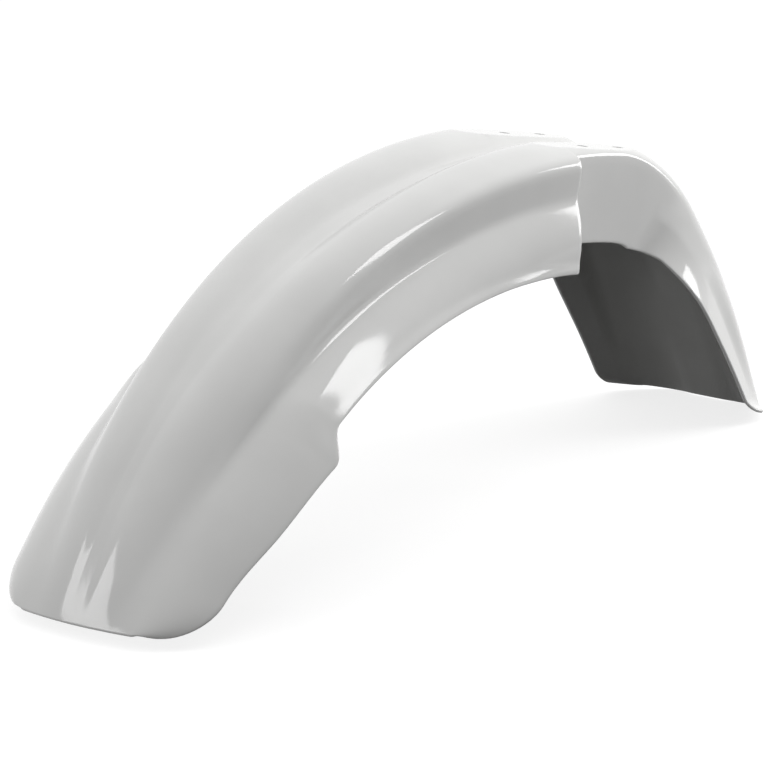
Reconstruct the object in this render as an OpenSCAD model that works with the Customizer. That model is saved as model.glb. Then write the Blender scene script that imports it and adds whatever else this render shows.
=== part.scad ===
// Front mudguard for an off-road motorcycle, moulded in one piece of plastic.
// The origin is the middle of the bolt pattern, on top of the flat bolt pads.
// X points forward, Y points to the left of the motorcycle and Z points up.

/* [Bolt pads] */
// Distance between the bolt holes across the motorcycle
bolt_across = 82; // [60:1:100]
// Distance between the bolt holes along the motorcycle
bolt_along = 42; // [30:1:60]
// Diameter of each bolt hole
bolt_hole_d = 9; // [6:0.5:12]
// Thickness of the wall under the flat pads
pad_t = 4.5; // [3.5:0.5:7]
// Diameter of the raised seat under each bolt hole
boss_d = 19; // [16:1:24]
// Height of the raised seat under each bolt hole
boss_h = 2.5; // [1:0.5:5]

/* [Wall] */
// Thickness of the moulded wall
wall_t = 3; // [2.2:0.1:4]

/* [Side profile] */
// Height of the crest line over the flat pads, before they are cut flat
crest_rise = 2; // [1:0.5:4]
// Radius of the front arch, seen from the side
front_arch_r = 505; // [440:5:600]
// Angle that the front arch turns through, from the bolts to the tip
front_arch_turn = 75; // [64:1:80]
// Radius of the bend behind the bolts
rear_bend_r = 144; // [130:2:180]
// Angle that this bend turns through
rear_bend_turn = 46; // [38:1:52]
// Radius of the rear blade, seen from the side
rear_blade_r = 355; // [280:5:500]
// Angle that the rear blade turns through
rear_blade_turn = 10; // [4:1:16]
// Length of the straight end of the rear blade
tail_len = 137; // [110:1:160]

/* [Fork clearance] */
// Distance from the bolts forward to the wall in front of the fork leg
notch_front = 64; // [56:1:74]
// Distance from the bolts back to where the flat waist ends, along its top
notch_back = 3; // [0:1:16]
// Length of the short wall between the flank and the waist
notch_draft = 2.5; // [2:0.5:6]
// Half width of the waist at its shoulder
waist_shoulder = 67.5; // [64:0.5:74]
// Half width of the waist at its lower rim
waist_rim = 60; // [55:0.5:65]
// Drop of the waist's shoulder under the crest line
waist_drop = 3.5; // [2:0.5:8]
// Roundness of the waist's shoulder
waist_round = 3; // [2:0.5:6]
// Depth of the waist's lower rim under the crest line
waist_depth = 75.5; // [68:0.5:83]

/* [Centre channel] */
// Depth of the channel at the waist
channel_waist = 12; // [8:0.5:16]
// Depth of the channel in front of the fork
channel_notch = 9; // [5:0.5:12]
// Share of the channel's half width that its flat floor takes
channel_floor = 0.45; // [0.3:0.05:0.6]
// Length over which the channel fades out in front of the fork
channel_front_len = 400; // [320:10:440]
// Length over which the channel fades out behind the waist
channel_back_len = 130; // [80:5:180]
// Half width between the ridges at the fork
ridge_gap = 18; // [16:0.5:26]
// Half width between the ridges further forward
ridge_gap_mid = 22.5; // [16:0.5:26]
// Half width between the ridges where the channel ends
ridge_gap_end = 8; // [5:0.5:13]
// Half width between the ridges at the tip
ridge_gap_tip = 7; // [4:0.5:10]
// Roundness of the channel's upper edges
ridge_round = 6; // [4:0.5:8]

/* [Ridges and grooves] */
// Half width of the shoulder at the fork
shoulder_notch = 81.5; // [76:0.5:88]
// Half width of the shoulder further forward
shoulder_mid = 72; // [68:0.5:80]
// Half width of the shoulder where the groove ends
shoulder_end = 64.5; // [58:0.5:70]
// Half width of the shoulder line at the tip
shoulder_tip = 41; // [34:0.5:50]
// Drop of the shoulder under the crest line at the fork
shoulder_drop = 5.5; // [3:0.5:9]
// Drop of the shoulder further forward
shoulder_drop_mid = 9.5; // [6:0.5:13]
// Drop of the shoulder where the groove ends
shoulder_drop_end = 16; // [10:0.5:20]
// Drop of the shoulder line at the tip
shoulder_drop_tip = 2; // [1:0.5:6]
// Depth of the groove's line at the tip
groove_depth_tip = 4; // [2:0.5:8]
// Half width of the groove's foot at the fork
groove_notch = 79; // [72:0.5:84]
// Half width of the groove's foot further forward
groove_mid = 67; // [62:0.5:74]
// Half width of the groove's foot where it ends
groove_end = 69.5; // [62:0.5:76]
// Half width of the groove's line at the tip
groove_tip = 56; // [48:0.5:60]
// Depth of the groove's foot under the crest line at the fork
groove_depth = 36; // [28:0.5:42]
// Depth of the groove's foot further forward
groove_depth_mid = 37; // [28:0.5:42]
// Depth of the groove's foot where it ends
groove_depth_end = 23; // [16:0.5:28]
// Crown of each ridge over its two edges at the fork
ridge_crown = 9; // [6:0.5:11]
// Crown of each ridge further forward
ridge_crown_mid = 7.5; // [6:0.5:10]
// Crown of each ridge where it runs out at the tip
ridge_crown_tip = 0; // [0:0.5:4]
// Roundness of the shoulder
shoulder_round = 9; // [6:0.5:14]
// Roundness of the groove's foot
groove_round = 4; // [3:0.5:8]

/* [Flanks] */
// Half width of the flank's lower edge at the fork
flank_notch = 87.5; // [80:0.5:94]
// Half width of the flank's lower edge halfway to the step
flank_mid = 95; // [87:0.5:103]
// Half width of the flank's lower edge at the step
flank_step = 109.5; // [100:0.5:119]
// Depth of the flank's lower edge at the fork
flank_depth = 93; // [84:1:102]
// Depth of the flank's lower edge halfway to the step
flank_depth_mid = 76.5; // [68:0.5:86]
// Depth of the flank's lower edge at the step
flank_depth_step = 53.5; // [46:0.5:62]
// Outward bulge of the flank
flank_bulge = 4.5; // [1:0.5:8]
// Outward flare of the flank's lip
lip_flare = 1.5; // [0:0.5:3]
// Distance from the fork wall forward to the step in the edge
step_at = 366; // [340:1:390]
// Length of the rounded step
step_len = 34; // [24:1:44]

/* [Front blade] */
// Half width of the blade just ahead of the step
blade_step = 122.5; // [114:0.5:132]
// Half width of the blade nearly halfway to the tip
blade_mid = 119; // [110:1:126]
// Half width of the blade behind its front corners
blade_front = 110; // [102:0.5:118]
// Half width of the blade at the tip
blade_tip = 108.5; // [98:0.5:116]
// Depth of the blade's edge just ahead of the step
blade_depth_step = 64; // [54:1:70]
// Depth of the blade's edge nearly halfway to the tip
blade_depth_mid = 51.5; // [44:0.5:58]
// Depth of the blade's edge behind its front corners
blade_depth_front = 36; // [30:1:44]
// Depth of the blade's edge at the tip
blade_depth_tip = 27; // [24:1:38]
// Radius of the blade's front corners
tip_corner_r = 40; // [28:1:52]
// How far the front edge bows forward
tip_bow = 8; // [4:0.5:14]

/* [Rear blade] */
// Half width of the lower rim of the rear blade
side_rim = 80.5; // [74:0.5:88]
// Half width of the rear blade halfway up its side walls
side_mid = 73; // [67:0.5:79]
// Distance along the crest behind the bolts where the side walls flare out, halfway up
flare_mid_at = 66; // [50:1:80]
// Distance along the crest behind the bolts where the lower rim flares out
flare_rim_at = 88; // [74:1:104]
// Length over which the side walls and the rim flare out
flare_len = 110; // [80:1:140]
// How sharply the side walls fold out of the waist, 1 is the softest
fold_shape = 0.55; // [0.5:0.05:1]
// Half width of the rear blade's shoulder
tail_shoulder = 71.5; // [66:0.5:78]
// Half width of the shoulder at the end of the tail
tail_shoulder_end = 65.5; // [60:0.5:71]
// Drop of the rear blade's shoulder under its centre
tail_shoulder_drop = 11; // [7:0.5:15]
// Depth of the lower rim where the side walls fold out of the waist
fold_depth = 74.5; // [68:0.5:82]
// Depth of the side walls behind the waist
side_depth = 63; // [54:1:72]
// Depth of the side walls halfway down
side_depth_mid = 46; // [40:0.5:54]
// Depth of the side walls at the tail
side_depth_tail = 38; // [30:0.5:46]
// Radius of the tail's corners
tail_corner_r = 13; // [8:1:20]

/* [Hidden] */
plastic = [0.93, 0.93, 0.92];
deg = 180 / PI;

// Lengths along the crest line, counted from the bolts
notch_s = front_arch_r * asin(notch_front / front_arch_r) / deg;
tip_s = front_arch_r * front_arch_turn / deg;
blade_len = tip_s - notch_s;
bend_len = rear_bend_r * rear_bend_turn / deg;
rear_arc_len = rear_blade_r * rear_blade_turn / deg;
tail_s = bend_len + rear_arc_len + tail_len;
step_end = step_at + step_len;

// Sections stand upright at the fork and lean with the arch after these lengths
lean_front = 150;
lean_rear = 60;
// Length over which the front edge takes up its bow, and the tail its level cut
bow_len = 150;
level_len = 110;
// Distances of the first rows behind the fork wall, and of the rows beside the step
row_first = 6;
row_second = 20;
row_step = 9;

// Places along the front where the sizes of the section are set
front_at = [for (f = [0, 0.35, 0.7, 1]) f * blade_len];
flank_at = [for (f = [0, 0.5, 1]) f * step_at];
blade_at = [for (f = [0, 0.4, 0.75, 1]) step_end + f * (blade_len - step_end)];
rear_at = [notch_back, bend_len, (bend_len + tail_s) / 2, tail_s];
rim_at = [0, bend_len / 2, bend_len, (bend_len + tail_s) / 2, tail_s];

// Smooth curves
function clamp01(t) = max(0, min(1, t));
function ease(t) = let (u = clamp01(t)) u * u * (3 - 2 * u);
function flare(t) = pow(ease(t), fold_shape);
function slope(k, v, i) =
    let (a = max(0, i - 1), b = min(len(k) - 1, i + 1)) (v[b] - v[a]) / (k[b] - k[a]);
function span(k, x, i = 0) = i >= len(k) - 2 || x < k[i + 1] ? i : span(k, x, i + 1);
// A value at x on the smooth curve through the values v at the places k
function curve(k, v, x) =
    let (
        c = max(k[0], min(k[len(k) - 1], x)),
        i = span(k, c),
        h = k[i + 1] - k[i],
        t = (c - k[i]) / h
    )
    (2 * t * t * t - 3 * t * t + 1) * v[i] + (t * t * t - 2 * t * t + t) * h * slope(k, v, i)
    + (3 * t * t - 2 * t * t * t) * v[i + 1] + (t * t * t - t * t) * h * slope(k, v, i + 1);
function bezier(a, b, c, t) = (1 - t) * (1 - t) * a + 2 * t * (1 - t) * b + t * t * c;
function toward(a, b, r) = a + (b - a) * min(0.48, r / max(0.01, norm(b - a)));
function unit(v) = v / max(0.000001, norm(v));

// The crest line: [distance from the bolts, height, pitch] after an arc or a straight
function arc(p, r, turn) = [
    p[0] + r * (sin(p[2] + turn) - sin(p[2])),
    p[1] - r * (cos(p[2]) - cos(p[2] + turn)),
    p[2] + turn
];
function straight(p, d) = [p[0] + d * cos(p[2]), p[1] - d * sin(p[2]), p[2]];
crest = [0, crest_rise, 0];
bend_end = arc(crest, rear_bend_r, rear_bend_turn);
rear_arc_end = arc(bend_end, rear_blade_r, rear_blade_turn);
function front_line(s) = arc(crest, front_arch_r, s / front_arch_r * deg);
function rear_line(s) =
    s < bend_len ? arc(crest, rear_bend_r, s / rear_bend_r * deg)
    : s < bend_len + rear_arc_len ? arc(bend_end, rear_blade_r, (s - bend_len) / rear_blade_r * deg)
    : straight(rear_arc_end, s - bend_len - rear_arc_len);

// Half of a section from the centre outward, as [half width, height over the crest line]:
// channel floor, channel wall, crowned ridge, shoulder, groove wall, groove foot and flank
function half_section(channel, gap, crown, shoulder, foot, edge, round_r, bulge, lip) =
    let (
        centre = [0, -channel],
        floor_edge = [gap * channel_floor, -channel],
        inner = [gap, 0],
        top = [(gap + shoulder[0]) / 2, crown],
        side = unit(edge - foot),
        middle = (foot + edge) / 2 + 2 * bulge * [-side[1], side[0]],
        floor_in = toward(floor_edge, centre, ridge_round * 0.7),
        floor_out = toward(floor_edge, inner, ridge_round * 0.7),
        inner_in = toward(inner, floor_edge, ridge_round),
        inner_out = bezier(inner, top, shoulder, 0.14),
        shoulder_in = bezier(inner, top, shoulder, 0.86),
        shoulder_out = toward(shoulder, foot, round_r),
        foot_in = toward(foot, shoulder, groove_round),
        foot_out = bezier(foot, middle, edge, 0.1)
    )
    [
        centre,
        for (t = [0, 0.5, 1]) bezier(floor_in, floor_edge, floor_out, t),
        for (t = [0, 0.5, 1]) bezier(inner_in, inner, inner_out, t),
        for (t = [0.38, 0.63]) bezier(inner, top, shoulder, t),
        for (t = [0, 0.33, 0.67, 1]) bezier(shoulder_in, shoulder, shoulder_out, t),
        for (t = [0, 0.5, 1]) bezier(foot_in, foot, foot_out, t),
        for (t = [0.3, 0.53, 0.76, 0.93]) bezier(foot, middle, edge, t),
        edge + [lip, 0]
    ];

// Section in front of the fork, q ahead of the fork wall
function front_edge(q) =
    let (
        flank = [
            curve(flank_at, [flank_notch, flank_mid, flank_step], q),
            -curve(flank_at, [flank_depth, flank_depth_mid, flank_depth_step], q)
        ],
        blade = [
            curve(blade_at, [blade_step, blade_mid, blade_front, blade_tip], q),
            -curve(blade_at, [blade_depth_step, blade_depth_mid, blade_depth_front, blade_depth_tip], q)
        ],
        w = ease((q - step_at) / step_len)
    )
    (1 - w) * flank + w * blade;
function front_section(q) =
    let (
        gap = curve(front_at, [ridge_gap, ridge_gap_mid, ridge_gap_end, ridge_gap_tip], q),
        channel = channel_notch * pow(1 - pow(clamp01(q / channel_front_len), 2), 2),
        crown = curve(front_at, [ridge_crown, ridge_crown_mid, ridge_crown_mid, ridge_crown_tip], q),
        shoulder = [
            curve(front_at, [shoulder_notch, shoulder_mid, shoulder_end, shoulder_tip], q),
            -curve(front_at, [shoulder_drop, shoulder_drop_mid, shoulder_drop_end, shoulder_drop_tip], q)
        ],
        foot = [
            curve(front_at, [groove_notch, groove_mid, groove_end, groove_tip], q),
            -curve(front_at, [groove_depth, groove_depth_mid, groove_depth_end, groove_depth_tip], q)
        ],
        full = front_edge(q),
        left = blade_len - q,
        inset = left < tip_corner_r ? tip_corner_r - sqrt(max(0, left * (2 * tip_corner_r - left))) : 0,
        kept = (full[0] - inset - foot[0]) / (full[0] - foot[0]),
        edge = foot + kept * (full - foot),
        lip = lip_flare * (1 - ease((q - step_at) / step_len))
    )
    half_section(channel, gap, crown, shoulder, foot, edge, shoulder_round, flank_bulge * kept, lip);

// Section at the waist and behind it, s behind the bolts
function rear_section(s) =
    let (
        q = max(s, notch_back),
        shoulder = [
            curve(rear_at, [waist_shoulder, waist_shoulder, tail_shoulder, tail_shoulder_end], q),
            -curve(rear_at, [waist_drop, tail_shoulder_drop, tail_shoulder_drop, tail_shoulder_drop], q)
        ],
        left = tail_s - q,
        inset = left < tail_corner_r ? tail_corner_r - sqrt(max(0, left * (2 * tail_corner_r - left))) : 0,
        edge = [
            waist_rim + (side_rim - waist_rim) * flare((s - flare_rim_at) / flare_len),
            inset - curve(rim_at, [waist_depth, fold_depth, side_depth, side_depth_mid, side_depth_tail], s)
        ],
        flat_mid = (waist_shoulder + waist_rim) / 2,
        wall_mid = [
            flat_mid + (side_mid - flat_mid) * flare((s - flare_mid_at) / flare_len),
            (shoulder[1] + edge[1]) / 2
        ],
        fade = ease((s - notch_back) / channel_back_len),
        channel = channel_notch + (channel_waist - channel_notch) * ease(1 + s / notch_s)
    )
    half_section(
        channel * (1 - fade), ridge_gap, ridge_crown + (ridge_crown_mid - ridge_crown) * fade,
        shoulder, wall_mid, edge, waist_round + (shoulder_round - waist_round) * fade, 0, 0
    );

// A station is [line, lean of the section, direction along X, bow, level cut, half section]
function front_station(q) =
    let (line = front_line(notch_s + q))
    [line, line[2] * ease(q / lean_front + 0.2), 1,
        tip_bow * ease((q - blade_len + bow_len) / bow_len), 0, front_section(q)];
function rear_station(s) =
    let (line = s < 0 ? front_line(-s) : rear_line(s))
    [line, s < 0 ? 0 : line[2] * ease(s / lean_rear), s < 0 ? 1 : -1,
        0, ease((s - tail_s + level_len) / level_len) / tan(max(20, line[2])), rear_section(s)];
function place(station, p) =
    let (
        line = station[0],
        back = station[3] * pow(p[0] / blade_tip, 2) - station[4] * p[1]
    )
    [
        station[2] * (line[0] + sin(station[1]) * p[1] - cos(line[2]) * back),
        p[0],
        line[1] + cos(station[1]) * p[1] + sin(line[2]) * back
    ];
function ring(station) =
    let (half = [for (p = station[5]) place(station, p)], n = len(half))
    [
        for (i = [n - 1:-1:1]) half[i],
        for (i = [0:n - 1]) [half[i][0], -half[i][1], half[i][2]]
    ];

// Stations from the tail to the tip
function steps(a, b, n) = [for (i = [0:n - 1]) a + (b - a) * i / n];
tail_stations = concat(
    [for (a = [90:-30:1]) tail_s - tail_corner_r * (1 - sin(a))],
    steps(tail_s - tail_corner_r, flare_rim_at + flare_len, 7),
    steps(flare_rim_at + flare_len, 0, 15),
    steps(0, notch_draft - notch_s, 4),
    [notch_draft - notch_s]
);
blade_stations = concat(
    [0, row_first],
    steps(row_second, step_at - row_step, 13),
    steps(step_at - row_step, step_end + row_step, 8),
    steps(step_end + row_step, blade_len - tip_corner_r, 7),
    [for (a = [0:18:90]) blade_len - tip_corner_r * (1 - sin(a))]
);
outer = concat(
    [for (s = tail_stations) ring(rear_station(s))],
    [for (q = blade_stations) ring(front_station(q))]
);
rows = len(outer);
cols = len(outer[0]);

// Mean direction of two neighbouring steps, and how much it must lengthen an offset
function along(a, b, c) =
    let (u = b == a ? unit(c - b) : unit(b - a), v = c == b ? unit(b - a) : unit(c - b))
    u + v;
function inward(i, j) =
    let (
        p = outer[i][j],
        du = along(outer[max(0, i - 1)][j], p, outer[min(rows - 1, i + 1)][j]),
        dv = along(outer[i][max(0, j - 1)], p, outer[i][min(cols - 1, j + 1)]),
        n = unit(cross(du, dv)),
        mitre = min(1.5, 2 / norm(du)) * min(1.5, 2 / norm(dv)),
        q = p + n * wall_t * mitre
    )
    [q[0], q[1], min(q[2], -pad_t)];
inner = [for (i = [0:rows - 1]) [for (j = [0:cols - 1]) inward(i, j)]];

function quad(a, b, c, d) = [[a, b, c], [a, c, d]];
function at(layer, i, j) = (layer * rows + i) * cols + j;

// The moulded wall between the outer and the inner skin
module wall() {
    points = [for (layer = [outer, inner]) for (row = layer) for (p = row) p];
    faces = [
        for (i = [0:rows - 2]) for (j = [0:cols - 2]) for (f = concat(
            quad(at(0, i, j), at(0, i + 1, j), at(0, i + 1, j + 1), at(0, i, j + 1)),
            quad(at(1, i, j), at(1, i, j + 1), at(1, i + 1, j + 1), at(1, i + 1, j))
        )) f,
        for (i = [0:rows - 2]) for (f = concat(
            quad(at(0, i, 0), at(1, i, 0), at(1, i + 1, 0), at(0, i + 1, 0)),
            quad(at(0, i, cols - 1), at(0, i + 1, cols - 1), at(1, i + 1, cols - 1), at(1, i, cols - 1))
        )) f,
        for (j = [0:cols - 2]) for (f = concat(
            quad(at(0, 0, j), at(0, 0, j + 1), at(1, 0, j + 1), at(1, 0, j)),
            quad(at(0, rows - 1, j), at(1, rows - 1, j), at(1, rows - 1, j + 1), at(0, rows - 1, j + 1))
        )) f
    ];
    polyhedron(points = points, faces = faces, convexity = 8);
}

// Puts a copy at each of the four bolt holes
module at_bolts() {
    for (x = [-1, 1], y = [-1, 1]) translate([x * bolt_along / 2, y * bolt_across / 2, 0]) children();
}

module bolt_seat() {
    translate([0, 0, -pad_t - boss_h]) cylinder(h = boss_h + pad_t / 2, d = boss_d, $fn = 48);
}

module bolt_hole() {
    translate([0, 0, -pad_t - boss_h - 1]) cylinder(h = pad_t + boss_h + 2, d = bolt_hole_d, $fn = 48);
}

// Everything above the bolt pads is cut away, which leaves two flat pads on the ridges
module pad_cutter() {
    reach = front_arch_r / 2;
    translate([-reach, -blade_step, 0]) cube([2 * reach, 2 * blade_step, reach]);
}

module mudguard() {
    color(plastic) difference() {
        union() {
            wall();
            at_bolts() bolt_seat();
        }
        pad_cutter();
        at_bolts() bolt_hole();
    }
}

mudguard();
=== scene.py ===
"""Looks of the front mudguard.

A fine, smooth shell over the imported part, its plastic, a floor, soft lamps and a camera.

Lengths of the shell are in millimetres in the row's frame until a mesh is made: the origin is the
middle of the bolt pattern on top of the flat pads, X points forward, Y to the left of the motorcycle
and Z up out of the pads. The lamps and the floor are placed in metres.
"""
import math

import bmesh
import bpy
import numpy as np
from mathutils import Matrix, Vector


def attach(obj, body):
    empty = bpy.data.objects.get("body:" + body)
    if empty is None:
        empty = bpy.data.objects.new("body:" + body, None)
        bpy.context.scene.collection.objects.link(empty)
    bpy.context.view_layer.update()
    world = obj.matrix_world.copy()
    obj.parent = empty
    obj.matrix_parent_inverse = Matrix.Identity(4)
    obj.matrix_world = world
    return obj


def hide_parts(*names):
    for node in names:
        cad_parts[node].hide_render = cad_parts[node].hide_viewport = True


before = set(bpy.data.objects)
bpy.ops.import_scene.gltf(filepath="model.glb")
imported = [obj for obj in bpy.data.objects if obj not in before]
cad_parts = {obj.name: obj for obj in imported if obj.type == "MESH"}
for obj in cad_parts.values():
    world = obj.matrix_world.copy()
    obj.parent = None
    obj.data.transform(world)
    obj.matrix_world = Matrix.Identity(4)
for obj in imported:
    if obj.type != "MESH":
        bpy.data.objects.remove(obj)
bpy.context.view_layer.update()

MM = 0.001

# Sizes, as in the part's own source
BOLT_ACROSS, BOLT_ALONG, BOLT_HOLE_D = 82, 42, 9
PAD_T, BOSS_D, BOSS_H, WALL_T = 4.5, 19, 2.5, 3
CREST_RISE = 2
FRONT_ARCH_R, FRONT_ARCH_TURN = 505, 75
REAR_BEND_R, REAR_BEND_TURN = 144, 46
REAR_BLADE_R, REAR_BLADE_TURN, TAIL_LEN = 355, 10, 137
NOTCH_FRONT, NOTCH_BACK, NOTCH_DRAFT = 64, 3, 2.5
WAIST_SHOULDER, WAIST_RIM, WAIST_DROP, WAIST_ROUND, WAIST_DEPTH = 67.5, 60, 3.5, 3, 75.5
CHANNEL_WAIST, CHANNEL_NOTCH, CHANNEL_FLOOR = 12, 9, 0.45
CHANNEL_FRONT_LEN, CHANNEL_BACK_LEN = 400, 130
RIDGE_GAP = (18, 22.5, 8, 7)
RIDGE_ROUND = 6
RIDGE_CROWN = (9, 7.5, 7.5, 0)
SHOULDER = (81.5, 72, 64.5, 41)
SHOULDER_DROP = (5.5, 9.5, 16, 2)
GROOVE = (79, 67, 69.5, 56)
GROOVE_DEPTH = (36, 37, 23, 4)
SHOULDER_ROUND, GROOVE_ROUND = 9, 4
FLANK = (87.5, 95, 109.5)
FLANK_DEPTH = (93, 76.5, 53.5)
FLANK_BULGE, LIP_FLARE = 4.5, 1.5
STEP_AT, STEP_LEN = 366, 34
BLADE = (122.5, 119, 110, 108.5)
BLADE_DEPTH = (64, 51.5, 36, 27)
TIP_CORNER_R, TIP_BOW = 40, 8
SIDE_RIM, SIDE_MID = 80.5, 73
FLARE_MID_AT, FLARE_RIM_AT, FLARE_LEN, FOLD_SHAPE = 66, 88, 110, 0.55
TAIL_SHOULDER, TAIL_SHOULDER_END, TAIL_SHOULDER_DROP = 71.5, 65.5, 11
FOLD_DEPTH = 74.5
SIDE_DEPTH = (63, 46, 38)
TAIL_CORNER_R = 13
LEAN_FRONT, LEAN_REAR, BOW_LEN, LEVEL_LEN = 150, 60, 150, 110

# Shares along the front, the flank and the blade at which their sizes hold
FRONT_SHARES = (0, 0.35, 0.7, 1)
FLANK_SHARES = (0, 0.5, 1)
BLADE_SHARES = (0, 0.4, 0.75, 1)

# How the sections lean
LEAN_START = 0.2  # how far the front's lean has eased in at the notch's front wall
LEVEL_SLOPE_MIN = math.radians(20)  # the tail's edge is levelled as if its slope were at least this

# Shares along the curves of a section
FLOOR_SHARE = 0.7  # roundness of the channel's floor, as a share of the ridge's
CROWN_FROM, CROWN_TO = 0.14, 0.86  # part of the crown that is left between its rounded ends
FLANK_FROM = 0.1  # start of the flank below the groove's rounding
LIP_FROM = 0.84  # start of the lip on the flank
SHORT_SIDE = 0.48  # most of a short side that a rounding may take

# Points along the curves of a section
FLOOR_POINTS, WALL_POINTS, CROWN_POINTS = 6, 7, 15
SHOULDER_POINTS, GROOVE_POINTS, FLANK_POINTS = 9, 7, 19

# Sizes of the looks only
RIM_ROUND = 1.3  # depth of the rounded rim
CORNER_ROUND = 1.4  # roundness of the corners beside the fork legs
ROW_STEP = 3.1  # distance between the rows of the mesh
WALL_GAP = 4.2  # distance from the notch's front wall to the next row
TAIL_ROW_TURN, TIP_ROW_TURN = 7.5, 6  # degrees between the rows round the tail's and the tip's corners
RIM_TURNS = (30, 60, 90, 120, 150)  # degrees round the rim from the outer skin to the inner one
MITRE_MAX = 1.5  # most that a corner multiplies the distance between the skins by
SEAT_ROUND, SEAT_BULGE = 0.8, 0.3  # rounded low edge of the seats round the bolt holes
CUT_REACH = 1  # how far the holes are cut past the pads and the seats
TURN_STEPS = 72  # sides of a bolt hole
SHARP_FROM = math.radians(38)  # corners sharper than this keep their edge

# Lengths along the crest
NOTCH_S = FRONT_ARCH_R * math.asin(NOTCH_FRONT / FRONT_ARCH_R)
BLADE_LEN = FRONT_ARCH_R * math.radians(FRONT_ARCH_TURN) - NOTCH_S
BEND_LEN = REAR_BEND_R * math.radians(REAR_BEND_TURN)
REAR_ARC_LEN = REAR_BLADE_R * math.radians(REAR_BLADE_TURN)
TAIL_S = BEND_LEN + REAR_ARC_LEN + TAIL_LEN
STEP_END = STEP_AT + STEP_LEN
FRONT_AT = [share * BLADE_LEN for share in FRONT_SHARES]
FLANK_AT = [share * STEP_AT for share in FLANK_SHARES]
BLADE_AT = [STEP_END + share * (BLADE_LEN - STEP_END) for share in BLADE_SHARES]
REAR_AT = [NOTCH_BACK, BEND_LEN, (BEND_LEN + TAIL_S) / 2, TAIL_S]
RIM_AT = [0, BEND_LEN / 2, BEND_LEN, (BEND_LEN + TAIL_S) / 2, TAIL_S]


# Smooth curves
def ease(t):
    u = np.clip(t, 0, 1)
    return u * u * (3 - 2 * u)


def flare(t):
    return ease(t) ** FOLD_SHAPE


def curve(places, values, x):
    """The smooth curve through the values at the places."""
    k, v = np.array(places, float), np.array(values, float)
    last = len(k) - 1
    before = np.maximum(np.arange(last + 1) - 1, 0)
    after = np.minimum(np.arange(last + 1) + 1, last)
    m = (v[after] - v[before]) / (k[after] - k[before])
    x = np.clip(x, k[0], k[-1])
    i = np.clip(np.searchsorted(k, x, side="right") - 1, 0, last - 1)
    h = k[i + 1] - k[i]
    t = (x - k[i]) / h
    return (
        (2 * t**3 - 3 * t**2 + 1) * v[i]
        + (t**3 - 2 * t**2 + t) * h * m[i]
        + (3 * t**2 - 2 * t**3) * v[i + 1]
        + (t**3 - t**2) * h * m[i + 1]
    )


def unit(v):
    return v / np.maximum(np.linalg.norm(v, axis=-1, keepdims=True), 1e-9)


def bezier(a, b, c, t):
    return (1 - t) ** 2 * a + 2 * t * (1 - t) * b + t**2 * c


def toward(a, b, r):
    """The point at distance r from a toward b."""
    d = np.linalg.norm(b - a, axis=-1, keepdims=True)
    return a + (b - a) * np.minimum(SHORT_SIDE, r / np.maximum(0.01, d))


def pair(y, z):
    y, z = np.broadcast_arrays(y, z)
    return np.stack([y, z], -1).astype(float)


# The crest line
def arc(start, r, turn):
    """The place and slope at the end of an arc that bends downward."""
    x, z, slope = start
    end = slope + turn
    return (x + r * (np.sin(end) - np.sin(slope)), z - r * (np.cos(slope) - np.cos(end)), end)


CREST = (0.0, float(CREST_RISE), 0.0)
BEND_END = arc(CREST, REAR_BEND_R, math.radians(REAR_BEND_TURN))
REAR_ARC_END = arc(BEND_END, REAR_BLADE_R, math.radians(REAR_BLADE_TURN))


def front_line(s):
    return arc(CREST, FRONT_ARCH_R, s / FRONT_ARCH_R)


def rear_line(s):
    bend = arc(CREST, REAR_BEND_R, s / REAR_BEND_R)
    blade = arc(BEND_END, REAR_BLADE_R, (s - BEND_LEN) / REAR_BLADE_R)
    past = s - BEND_LEN - REAR_ARC_LEN
    x, z, slope = REAR_ARC_END
    tail = (x + past * math.cos(slope), z - past * math.sin(slope), slope + 0 * s)
    return [np.where(s < BEND_LEN, a, np.where(past < 0, b, c)) for a, b, c in zip(bend, blade, tail)]


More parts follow.
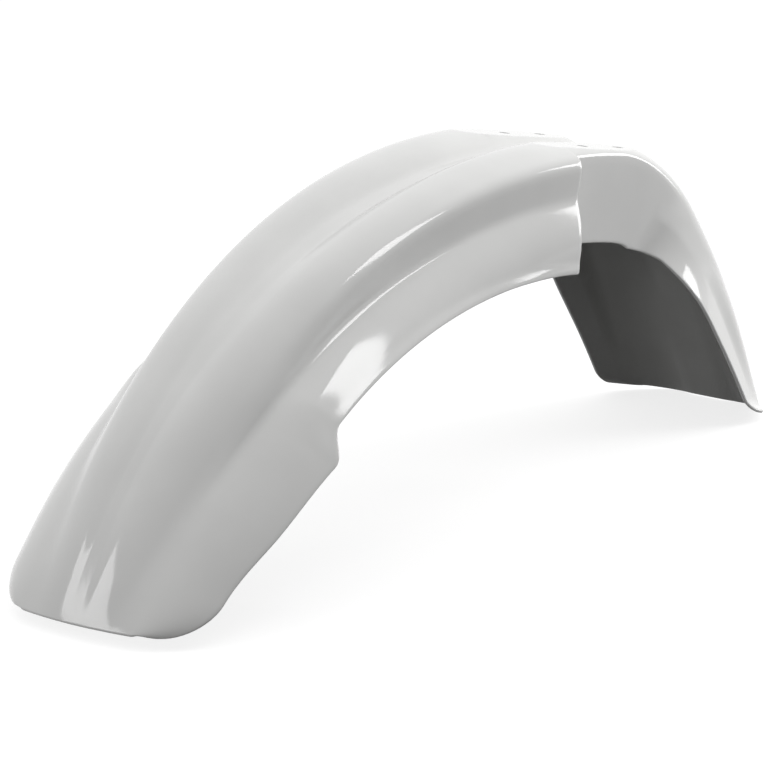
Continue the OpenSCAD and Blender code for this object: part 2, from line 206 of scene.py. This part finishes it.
# The sections along it
def half_section(channel, gap, crown, shoulder, foot, edge, round_r, bulge, lip):
    """Half of each section from the centre outward.

    It runs over the channel's floor and wall, the crowned ridge, the shoulder, the groove and the flank.
    """
    flat = np.zeros_like(channel)
    centre, inner = pair(flat, -channel), pair(gap, flat)
    floor_edge = pair(gap * CHANNEL_FLOOR, -channel)
    top = pair((gap + shoulder[:, 0]) / 2, crown)
    side = unit(edge - foot)
    outward = np.stack([-side[:, 1], side[:, 0]], -1)
    middle = (foot + edge) / 2 + 2 * np.reshape(bulge, (-1, 1)) * outward
    floor_in = toward(floor_edge, centre, RIDGE_ROUND * FLOOR_SHARE)
    floor_out = toward(floor_edge, inner, RIDGE_ROUND * FLOOR_SHARE)
    inner_in = toward(inner, floor_edge, RIDGE_ROUND)
    inner_out = bezier(inner, top, shoulder, CROWN_FROM)
    shoulder_in = bezier(inner, top, shoulder, CROWN_TO)
    shoulder_out = toward(shoulder, foot, np.reshape(round_r, (-1, 1)))
    foot_in = toward(foot, shoulder, GROOVE_ROUND)
    foot_out = bezier(foot, middle, edge, FLANK_FROM)
    points = [centre]
    points += [centre + (floor_in - centre) * t for t in (1 / 3, 2 / 3)]
    points += [bezier(floor_in, floor_edge, floor_out, t) for t in np.linspace(0, 1, FLOOR_POINTS)]
    points += [(floor_out + inner_in) / 2]
    points += [bezier(inner_in, inner, inner_out, t) for t in np.linspace(0, 1, WALL_POINTS)]
    crown_t = np.linspace(CROWN_FROM, CROWN_TO, CROWN_POINTS)[1:-1]
    points += [bezier(inner, top, shoulder, t) for t in crown_t]
    shoulder_t = np.linspace(0, 1, SHOULDER_POINTS)
    points += [bezier(shoulder_in, shoulder, shoulder_out, t) for t in shoulder_t]
    points += [shoulder_out + (foot_in - shoulder_out) * t for t in (0.25, 0.5, 0.75)]
    points += [bezier(foot_in, foot, foot_out, t) for t in np.linspace(0, 1, GROOVE_POINTS)]
    for t in np.linspace(FLANK_FROM, 1, FLANK_POINTS)[1:]:
        out = np.reshape(lip, (-1, 1)) * ease((t - LIP_FROM) / (1 - LIP_FROM)) * np.array([[1.0, 0.0]])
        points.append(bezier(foot, middle, edge, t) + out)
    return np.stack(points, 1)


def corner_inset(left, r):
    """How far a rounded corner draws the edge in where this length is left to the end."""
    return np.where(left < r, r - np.sqrt(np.maximum(0, left * (2 * r - left))), 0)


def front_edge(q):
    flank = pair(curve(FLANK_AT, FLANK, q), -curve(FLANK_AT, FLANK_DEPTH, q))
    blade = pair(curve(BLADE_AT, BLADE, q), -curve(BLADE_AT, BLADE_DEPTH, q))
    w = ease((q - STEP_AT) / STEP_LEN)[:, None]
    return (1 - w) * flank + w * blade


def front_section(q):
    """The half sections at the lengths q ahead of the notch's front wall."""
    channel = CHANNEL_NOTCH * (1 - np.clip(q / CHANNEL_FRONT_LEN, 0, 1) ** 2) ** 2
    shoulder = pair(curve(FRONT_AT, SHOULDER, q), -curve(FRONT_AT, SHOULDER_DROP, q))
    foot = pair(curve(FRONT_AT, GROOVE, q), -curve(FRONT_AT, GROOVE_DEPTH, q))
    full = front_edge(q)
    full = full - RIM_ROUND * unit(full - foot)
    inset = corner_inset(BLADE_LEN - RIM_ROUND - q, TIP_CORNER_R - RIM_ROUND)
    kept = (full[:, 0] - inset - foot[:, 0]) / (full[:, 0] - foot[:, 0])
    edge = foot + kept[:, None] * (full - foot)
    lip = LIP_FLARE * (1 - ease((q - STEP_AT) / STEP_LEN))
    return half_section(
        channel, curve(FRONT_AT, RIDGE_GAP, q), curve(FRONT_AT, RIDGE_CROWN, q),
        shoulder, foot, edge, SHOULDER_ROUND, FLANK_BULGE * kept, lip,
    )


def rear_section(s):
    """The half sections at the lengths s behind the bolts; s is negative in the fork's notch."""
    q = np.maximum(s, NOTCH_BACK)
    shoulder = pair(
        curve(REAR_AT, (WAIST_SHOULDER, WAIST_SHOULDER, TAIL_SHOULDER, TAIL_SHOULDER_END), q),
        -curve(REAR_AT, (WAIST_DROP, TAIL_SHOULDER_DROP, TAIL_SHOULDER_DROP, TAIL_SHOULDER_DROP), q),
    )
    inset = corner_inset(TAIL_S - RIM_ROUND - q, TAIL_CORNER_R - RIM_ROUND)
    rim = WAIST_RIM + (SIDE_RIM - WAIST_RIM) * flare((s - FLARE_RIM_AT) / FLARE_LEN)
    depth = curve(RIM_AT, (WAIST_DEPTH, FOLD_DEPTH, *SIDE_DEPTH), s) - RIM_ROUND
    edge = pair(rim, inset - depth)
    flat_mid = (WAIST_SHOULDER + WAIST_RIM) / 2
    mid = flat_mid + (SIDE_MID - flat_mid) * flare((s - FLARE_MID_AT) / FLARE_LEN)
    wall_mid = pair(mid, (shoulder[:, 1] + edge[:, 1]) / 2)
    fade = ease((s - NOTCH_BACK) / CHANNEL_BACK_LEN)
    waist = CHANNEL_NOTCH + (CHANNEL_WAIST - CHANNEL_NOTCH) * ease(1 + s / NOTCH_S)
    crown = RIDGE_CROWN[0] + (RIDGE_CROWN[1] - RIDGE_CROWN[0]) * fade
    round_r = WAIST_ROUND + (SHOULDER_ROUND - WAIST_ROUND) * fade
    nothing = np.zeros_like(s)
    return half_section(
        waist * (1 - fade), RIDGE_GAP[0] + nothing, crown,
        shoulder, wall_mid, edge, round_r, nothing, nothing,
    )


def placed(line, lean, way, back, half):
    """Puts the half sections on the crest line and mirrors them."""
    y, n = half[..., 0], half[..., 1]
    x = way * (line[0][:, None] + np.sin(lean)[:, None] * n - np.cos(line[2])[:, None] * back)
    z = line[1][:, None] + np.cos(lean)[:, None] * n + np.sin(line[2])[:, None] * back
    left = np.stack([x, y, z], -1)
    return np.concatenate([left[:, :0:-1], left * np.array([1, -1, 1])], 1)


def front_rows(q):
    """Rows from the notch's front wall to the tip."""
    line = front_line(NOTCH_S + q)
    half = front_section(q)
    bow = TIP_BOW * ease((q - BLADE_LEN + BOW_LEN) / BOW_LEN)[:, None] * (half[..., 0] / BLADE[3]) ** 2
    return placed(line, line[2] * ease(q / LEAN_FRONT + LEAN_START), 1, bow, half)


def rear_rows(s):
    """Rows from the notch back to the tail."""
    line = [np.where(s < 0, a, b) for a, b in zip(front_line(-s), rear_line(np.maximum(s, 0)))]
    half = rear_section(s)
    level = ease((s - TAIL_S + LEVEL_LEN) / LEVEL_LEN) / np.tan(np.maximum(LEVEL_SLOPE_MIN, line[2]))
    way = np.where(s < 0, 1, -1)[:, None]
    lean = np.where(s < 0, 0, line[2] * ease(s / LEAN_REAR))
    return placed(line, lean, way, -level[:, None] * half[..., 1], half)


def steps(a, b, step):
    """Even places from a up to, but not at, b."""
    return np.linspace(a, b, max(2, int(round(abs(b - a) / step))), endpoint=False)


# The two skins
tail_end, tail_r = TAIL_S - RIM_ROUND, TAIL_CORNER_R - RIM_ROUND
tail_rows = tail_end - tail_r * (1 - np.sin(np.radians(np.arange(90, 0, -TAIL_ROW_TURN))))
waist_end = NOTCH_DRAFT - NOTCH_S
rear_s = np.concatenate([
    tail_rows, steps(tail_end - tail_r, 0, ROW_STEP), steps(0, waist_end, ROW_STEP), [waist_end],
])
tip_end, tip_r = BLADE_LEN - RIM_ROUND, TIP_CORNER_R - RIM_ROUND
tip_rows = tip_end - tip_r * (1 - np.sin(np.radians(np.arange(0, 91, TIP_ROW_TURN))))
front_q = np.concatenate([[0], steps(WALL_GAP, tip_end - tip_r, ROW_STEP), tip_rows])
outer = np.concatenate([rear_rows(rear_s), front_rows(front_q)])


def inward(p):
    """The inner skin: every point moved in by the wall's thickness, with mitred corners."""
    def sums(axis):
        step = unit(np.diff(p, axis=axis))
        first, last = np.take(step, [0], axis), np.take(step, [-1], axis)
        both = np.concatenate([first, step], axis), np.concatenate([step, last], axis)
        return both[0] + both[1]

    def stretch(doubled):
        return np.minimum(MITRE_MAX, 2 / np.linalg.norm(doubled, axis=-1))

    du, dv = sums(0), sums(1)
    n = unit(np.cross(du, dv))
    q = p + n * (WALL_T * (stretch(du) * stretch(dv)))[..., None]
    q[..., 2] = np.minimum(q[..., 2], -PAD_T)
    return q


def rounded(grid, row, r):
    """Rounds the corner that the grid makes at a row: the row becomes five."""
    a, b = toward(grid[row], grid[row - 1], r), toward(grid[row], grid[row + 1], r)
    new = [bezier(a, grid[row], b, t) for t in (0, 0.25, 0.5, 0.75, 1)]
    return np.concatenate([grid[:row], new, grid[row + 1 :]])


waist_row = len(rear_s) - 1
skins = []
for skin in (outer, inward(outer)):
    skin = rounded(skin, waist_row + 1, CORNER_ROUND)
    skins.append(rounded(skin, waist_row, CORNER_ROUND))
outer, inner = skins
ROWS, COLS = outer.shape[:2]


# The mesh
def shell_mesh():
    """Both skins and the rounded rim between them."""
    verts = [outer.reshape(-1, 3), inner.reshape(-1, 3)]
    index = np.arange(ROWS * COLS).reshape(ROWS, COLS)
    a, b, c, d = index[:-1, :-1], index[1:, :-1], index[1:, 1:], index[:-1, 1:]
    top = np.stack([a, b, c, d], -1).reshape(-1, 4)
    under = np.stack([a, d, c, b], -1).reshape(-1, 4) + ROWS * COLS
    loop = np.concatenate([
        index[:, 0], index[-1, 1:], index[::-1, -1][1:], index[0, ::-1][1:-1],
    ])
    neighbour = np.concatenate([
        index[:, 1], index[-2, 1:], index[::-1, -2][1:], index[1, ::-1][1:-1],
    ])
    o, i = verts[0][loop], verts[1][loop]
    along = unit(np.roll(o, -1, 0) - np.roll(o, 1, 0))
    out = unit(np.cross(along, unit(o - i)))
    out *= np.sign(np.sum(out * (o - verts[0][neighbour]), -1, keepdims=True))
    rings, count = [loop], 2 * ROWS * COLS
    for t in np.radians(RIM_TURNS):
        verts.append((o + i) / 2 + math.cos(t) * (o - i) / 2 + math.sin(t) * RIM_ROUND * out)
        rings.append(np.arange(count, count + len(loop)))
        count += len(loop)
    rings.append(loop + ROWS * COLS)
    rim = [np.stack([r0, r1, np.roll(r1, -1), np.roll(r0, -1)], -1) for r0, r1 in zip(rings, rings[1:])]
    faces = np.concatenate([top, *rim, under])
    made = bpy.data.meshes.new("mudguard_shell")
    made.from_pydata((np.concatenate(verts) * MM).tolist(), [], faces.tolist())
    # The inner skin takes the second material: the matt plastic whose colour is darkened as painted shade.
    inside_from = len(faces) - len(under)
    made.polygons.foreach_set("material_index", (np.arange(len(faces)) >= inside_from).astype(int))
    return made


def cut_pads(mesh):
    """Cuts the crowned ridges flat on the plane of the bolt pads."""
    bm = bmesh.new()
    bm.from_mesh(mesh)
    bmesh.ops.recalc_face_normals(bm, faces=bm.faces[:])
    near = [f for f in bm.faces if max(v.co.z for v in f.verts) > -MM]
    geom = near + list({e for f in near for e in f.edges}) + list({v for f in near for v in f.verts})
    bmesh.ops.bisect_plane(bm, geom=geom, dist=1e-6, plane_co=(0, 0, 0), plane_no=(0, 0, 1))
    for v in bm.verts:
        v.co.z = min(v.co.z, 0)
    bm.to_mesh(mesh)
    bm.free()


def linked(name, data):
    """A new object in the scene."""
    obj = bpy.data.objects.new(name, data)
    bpy.context.scene.collection.objects.link(obj)
    return obj


def turned(name, profile):
    """A closed round body at each bolt hole; the profile has its radii and heights from below."""
    bm = bmesh.new()
    ways = ((-1, -1), (-1, 1), (1, -1), (1, 1))
    turns = np.linspace(0, 2 * math.pi, TURN_STEPS, endpoint=False)
    for x, y in [(a * BOLT_ALONG / 2, b * BOLT_ACROSS / 2) for a, b in ways]:
        rings = []
        for r, z in profile:
            ring = [((x + r * math.cos(a)) * MM, (y + r * math.sin(a)) * MM, z * MM) for a in turns]
            rings.append([bm.verts.new(point) for point in ring])
        for lower, upper in zip(rings, rings[1:]):
            for k in range(TURN_STEPS):
                after = (k + 1) % TURN_STEPS
                bm.faces.new((lower[k], lower[after], upper[after], upper[k]))
        bm.faces.new(rings[0][::-1])
        bm.faces.new(rings[-1])
    mesh = bpy.data.meshes.new(name)
    bm.to_mesh(mesh)
    bm.free()
    return linked(name, mesh)


def boolean(target, tool, kind):
    """Joins the tool to the target or cuts it out, and keeps the result as the target's mesh."""
    mod = target.modifiers.new(kind, "BOOLEAN")
    mod.operation, mod.object, mod.solver = kind, tool, "MANIFOLD"
    dg = bpy.context.evaluated_depsgraph_get()
    made = bpy.data.meshes.new_from_object(target.evaluated_get(dg))
    target.modifiers.clear()
    target.data = made


# Nodes of the materials
def fill(tree, node, values):
    """Sets each input to its value, or links it to the output that is given for it."""
    for key, value in values.items():
        if isinstance(value, bpy.types.NodeSocket):
            tree.links.new(value, node.inputs[key])
        else:
            node.inputs[key].default_value = value


def add(tree, kind, values, **settings):
    """A new node with its settings and its inputs."""
    node = tree.nodes.new(kind)
    for key, setting in settings.items():
        setattr(node, key, setting)
    fill(tree, node, values)
    return node


def maths(tree, kind, a, b):
    return add(tree, "ShaderNodeMath", {0: a, 1: b}, operation=kind).outputs["Value"]


def noise(tree, place, scale, detail, stretch=(1, 1, 1)):
    moved = add(tree, "ShaderNodeMapping", {"Vector": place, "Scale": stretch}).outputs["Vector"]
    values = {"Vector": moved, "Scale": scale, "Detail": detail}
    return add(tree, "ShaderNodeTexNoise", values).outputs["Fac"]


def spread(tree, value, source, target, interpolation="LINEAR"):
    """The value, with its range from the two ends of the source to those of the target."""
    ends = {"From Min": source[0], "From Max": source[1], "To Min": target[0], "To Max": target[1]}
    node = add(tree, "ShaderNodeMapRange", {"Value": value, **ends}, interpolation_type=interpolation)
    return node.outputs["Result"]


def grey(brightness):
    return (brightness, brightness, brightness, 1)


def material(name):
    mat = bpy.data.materials.new(name)
    mat.use_nodes = True
    return mat, mat.node_tree, mat.node_tree.nodes["Principled BSDF"]


def seen_ray(tree):
    """1 for the rays that show a background: camera, glossy and transmission rays."""
    rays = add(tree, "ShaderNodeLightPath", {}).outputs
    found = rays["Is Camera Ray"]
    for name in ("Is Glossy Ray", "Is Transmission Ray"):
        found = maths(tree, "MAXIMUM", found, rays[name])
    return found


# The plastic
PLASTIC_IOR = 1.5
CLOUD_SCALE, CLOUD_DETAIL, CLOUD_RANGE = 14, 3, (0.35, 0.65)  # the slightly uneven colour
SHADE = 0.95  # the darker tone, as a share of the colour
SCUFF_SCALE, SCUFF_DETAIL, SCUFF_RANGE = 60, 6, (0.62, 0.78)  # the faint scuffs
SCUFF_STRETCH = (1, 9, 3)
GLOSS_SCALE, GLOSS_DETAIL, GLOSS_RANGE = 35, 4, (0.3, 0.7)  # the slightly uneven gloss
GLOSS_SHARES = (0.85, 1.15)  # the least and the most roughness, as shares of the plastic's own
GRAIN_DETAIL = 2


def plastic(name, colour, rough, shine, grain_scale, grain_depth, wear):
    """White moulded plastic: a fine grain, slightly uneven gloss and faint scuffs."""
    mat, tree, surface = material(name)
    place = add(tree, "ShaderNodeTexCoord", {}).outputs["Object"]
    cloud = spread(tree, noise(tree, place, CLOUD_SCALE, CLOUD_DETAIL), CLOUD_RANGE, (0, 1))
    tones = {"Factor": cloud, "A": (*[c * SHADE for c in colour], 1), "B": (*colour, 1)}
    scuff = noise(tree, place, SCUFF_SCALE, SCUFF_DETAIL, SCUFF_STRETCH)
    gloss = noise(tree, place, GLOSS_SCALE, GLOSS_DETAIL)
    dulled = spread(tree, scuff, SCUFF_RANGE, (0, wear))
    uneven = spread(tree, gloss, GLOSS_RANGE, [rough * share for share in GLOSS_SHARES])
    grain = noise(tree, place, grain_scale, GRAIN_DETAIL)
    bump = add(tree, "ShaderNodeBump", {"Strength": 1, "Distance": grain_depth, "Height": grain})
    fill(tree, surface, {
        "Metallic": 0,
        "IOR": PLASTIC_IOR,
        "Specular IOR Level": shine,
        "Base Color": add(tree, "ShaderNodeMix", tones, data_type="RGBA").outputs["Result"],
        "Roughness": maths(tree, "ADD", uneven, dulled),
        "Normal": bump.outputs["Normal"],
    })
    return mat


outside = plastic(
    "white_plastic_gloss", (0.78, 0.78, 0.77),
    rough=0.08, shine=0.9, grain_scale=900, grain_depth=0.00001, wear=0.05,
)
# The inner skin: the same white plastic with a matt finish, its colour darker than the outside's as painted
# shade under the arch.
inside = plastic(
    "white_plastic_matt_painted_shade", (0.60, 0.60, 0.59),
    rough=0.5, shine=0.2, grain_scale=1500, grain_depth=0.00005, wear=0.08,
)

# The shell with its pads, seats and bolt holes
mesh = shell_mesh()
cut_pads(mesh)
shell = linked("mudguard_shell", mesh)
seat_r, seat_low = BOSS_D / 2, -PAD_T - BOSS_H
seats = turned("seats", [
    (seat_r - SEAT_ROUND, seat_low),
    (seat_r - SEAT_ROUND * SEAT_BULGE, seat_low + SEAT_ROUND * SEAT_BULGE),
    (seat_r, seat_low + SEAT_ROUND),
    (seat_r, -PAD_T / 2),
])
hole_r = BOLT_HOLE_D / 2
holes = turned("holes", [(hole_r, seat_low - CUT_REACH), (hole_r, CUT_REACH)])
mesh.materials.append(outside)
mesh.materials.append(inside)
# The seats under the pads take the inner plastic, with its painted shade.
seats.data.materials.append(inside)
holes.data.materials.append(outside)
boolean(shell, seats, "UNION")
boolean(shell, holes, "DIFFERENCE")
for obj in (seats, holes):
    bpy.data.objects.remove(obj)
shell.data.polygons.foreach_set("use_smooth", np.ones(len(shell.data.polygons), bool))
bm = bmesh.new()
bm.from_mesh(shell.data)
for e in bm.edges:
    e.smooth = not (e.is_manifold and e.calc_face_angle(0) > SHARP_FROM)
bm.to_mesh(shell.data)
bm.free()

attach(shell, "root")
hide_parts("mudguard")

# The camera, at the photograph's viewing angle
PHOTO_SIDE = 768  # pixels
FOCAL_PX = 6855.2
SENSOR = 36  # mm
VIEW_END = 100  # m
EYE = Vector((4064.39, 3523.25, 351.76)) * MM
RIGHT = Vector((-0.675647, 0.729129, 0.108957))
DOWN = Vector((0.002585, 0.150136, -0.988662))
AHEAD = Vector((-0.737221, -0.667705, -0.103324))
lens = bpy.data.cameras.new("camera")
lens.sensor_width = SENSOR
lens.lens = SENSOR * FOCAL_PX / PHOTO_SIDE
lens.clip_end = VIEW_END
camera = linked("camera", lens)
turn = Matrix((RIGHT, -DOWN, -AHEAD)).transposed()
camera.matrix_world = Matrix.Translation(EYE) @ turn.to_4x4()
bpy.context.scene.camera = camera

# The floor
UP = Vector((0.245, 0, 0.9695)).normalized()  # the mudguard stands on its tip and its tail
FLOOR_HALF = 14  # m
FLOOR_GAP = 0.0003  # m
FLOOR_LIGHT = 0.08  # how much light it throws back on the mudguard
FLOOR_ROUGH = 0.9
SEEN_SHADE, SEEN_GLOW = 0.35, 0.78  # where it is seen: what takes shadows, and what doesn't


def pale_floor():
    """White where it is seen, with the mudguard's shadow, and dark as a source of light."""
    mat, tree, surface = material("pale_floor")
    fill(tree, surface, {"Base Color": grey(FLOOR_LIGHT), "Roughness": FLOOR_ROUGH, "Specular IOR Level": 0})
    shade = add(tree, "ShaderNodeBsdfDiffuse", {"Color": grey(SEEN_SHADE)}).outputs[0]
    glow = add(tree, "ShaderNodeEmission", {"Strength": SEEN_GLOW}).outputs[0]
    seen = add(tree, "ShaderNodeAddShader", {0: shade, 1: glow}).outputs[0]
    either = add(tree, "ShaderNodeMixShader", {0: seen_ray(tree), 1: surface.outputs[0], 2: seen})
    fill(tree, tree.nodes["Material Output"], {"Surface": either.outputs[0]})
    return mat


corners = np.array([v.co for v in shell.data.vertices])
lowest = float((corners @ np.array(UP)).min())
square = [(x * FLOOR_HALF, y * FLOOR_HALF, 0) for x, y in ((-1, -1), (1, -1), (1, 1), (-1, 1))]
floor_mesh = bpy.data.meshes.new("floor")
floor_mesh.from_pydata(square, [], [(0, 1, 2, 3)])
floor_mesh.materials.append(pale_floor())
floor = linked("floor", floor_mesh)
flat = UP.to_track_quat("Z", "Y").to_matrix().to_4x4()
floor.matrix_world = Matrix.Translation(UP * (lowest - FLOOR_GAP)) @ flat

# The surroundings
ALONG = Vector((UP.z, 0, -UP.x))


def direction(azimuth, elevation):
    """The way to a place over the floor; azimuth 0 is ahead of the motorcycle and 90 to its left."""
    a, e = math.radians(azimuth), math.radians(elevation)
    return (ALONG * math.cos(a) + Vector((0, math.sin(a), 0))) * math.cos(e) + UP * math.sin(e)


SKY_GLOWS = ((direction(212, 50), 0.72), (direction(-20, 55), 0.42))  # ways and strengths
GLOW_EDGE = -0.2  # where a glow ends, as the cosine of the angle to its middle


def surroundings():
    """Soft, wide glows as a source of light, and white where they are seen."""
    world = bpy.data.worlds.new("world")
    world.use_nodes = True
    tree = world.node_tree
    place = add(tree, "ShaderNodeTexCoord", {}).outputs["Generated"]
    total = 0
    for way, strength in SKY_GLOWS:
        facing = add(tree, "ShaderNodeVectorMath", {0: place, 1: way}, operation="DOT_PRODUCT")
        glow = spread(tree, facing.outputs["Value"], (GLOW_EDGE, 1), (0, strength), "SMOOTHSTEP")
        total = maths(tree, "ADD", total, glow)
    sky = tree.nodes["Background"]
    fill(tree, sky, {"Color": grey(1), "Strength": total})
    seen = add(tree, "ShaderNodeBackground", {"Color": grey(1), "Strength": 1}).outputs[0]
    either = add(tree, "ShaderNodeMixShader", {0: seen_ray(tree), 1: sky.outputs[0], 2: seen})
    fill(tree, tree.nodes["World Output"], {"Surface": either.outputs[0]})
    return world


bpy.context.scene.world = surroundings()

# The lamps and the spots of the shell that they face
BLADE_SPOT = (0.26, 0.09, -0.13)
TIP_SPOT = (0.465, 0.02, -0.33)
WAIST_SPOT = (0, 0.06, -0.05)


def softbox(name, spot, azimuth, elevation, distance, size, strength):
    """A rectangular lamp; strength is the brightness of its face."""
    way = direction(azimuth, elevation)
    data = bpy.data.lights.new(name, "AREA")
    data.shape, data.size, data.size_y = "RECTANGLE", size[0], size[1]
    data.energy = strength * math.pi * size[0] * size[1]
    side = UP.cross(way).normalized()
    turn = Matrix((side, way.cross(side), way)).transposed()
    lamp = linked(name, data)
    lamp.matrix_world = Matrix.Translation(Vector(spot) + way * distance) @ turn.to_4x4()


softbox("softbox_left", BLADE_SPOT, 122.5, 56, 1.7, (0.36, 1.05), 4.6)
softbox("softbox_right", TIP_SPOT, -43, 28, 1.8, (0.5, 0.42), 2.4)
softbox("softbox_rear", WAIST_SPOT, 150, 14, 1.2, (0.65, 0.75), 5.2)

bpy.context.scene.view_settings.view_transform = "Standard"
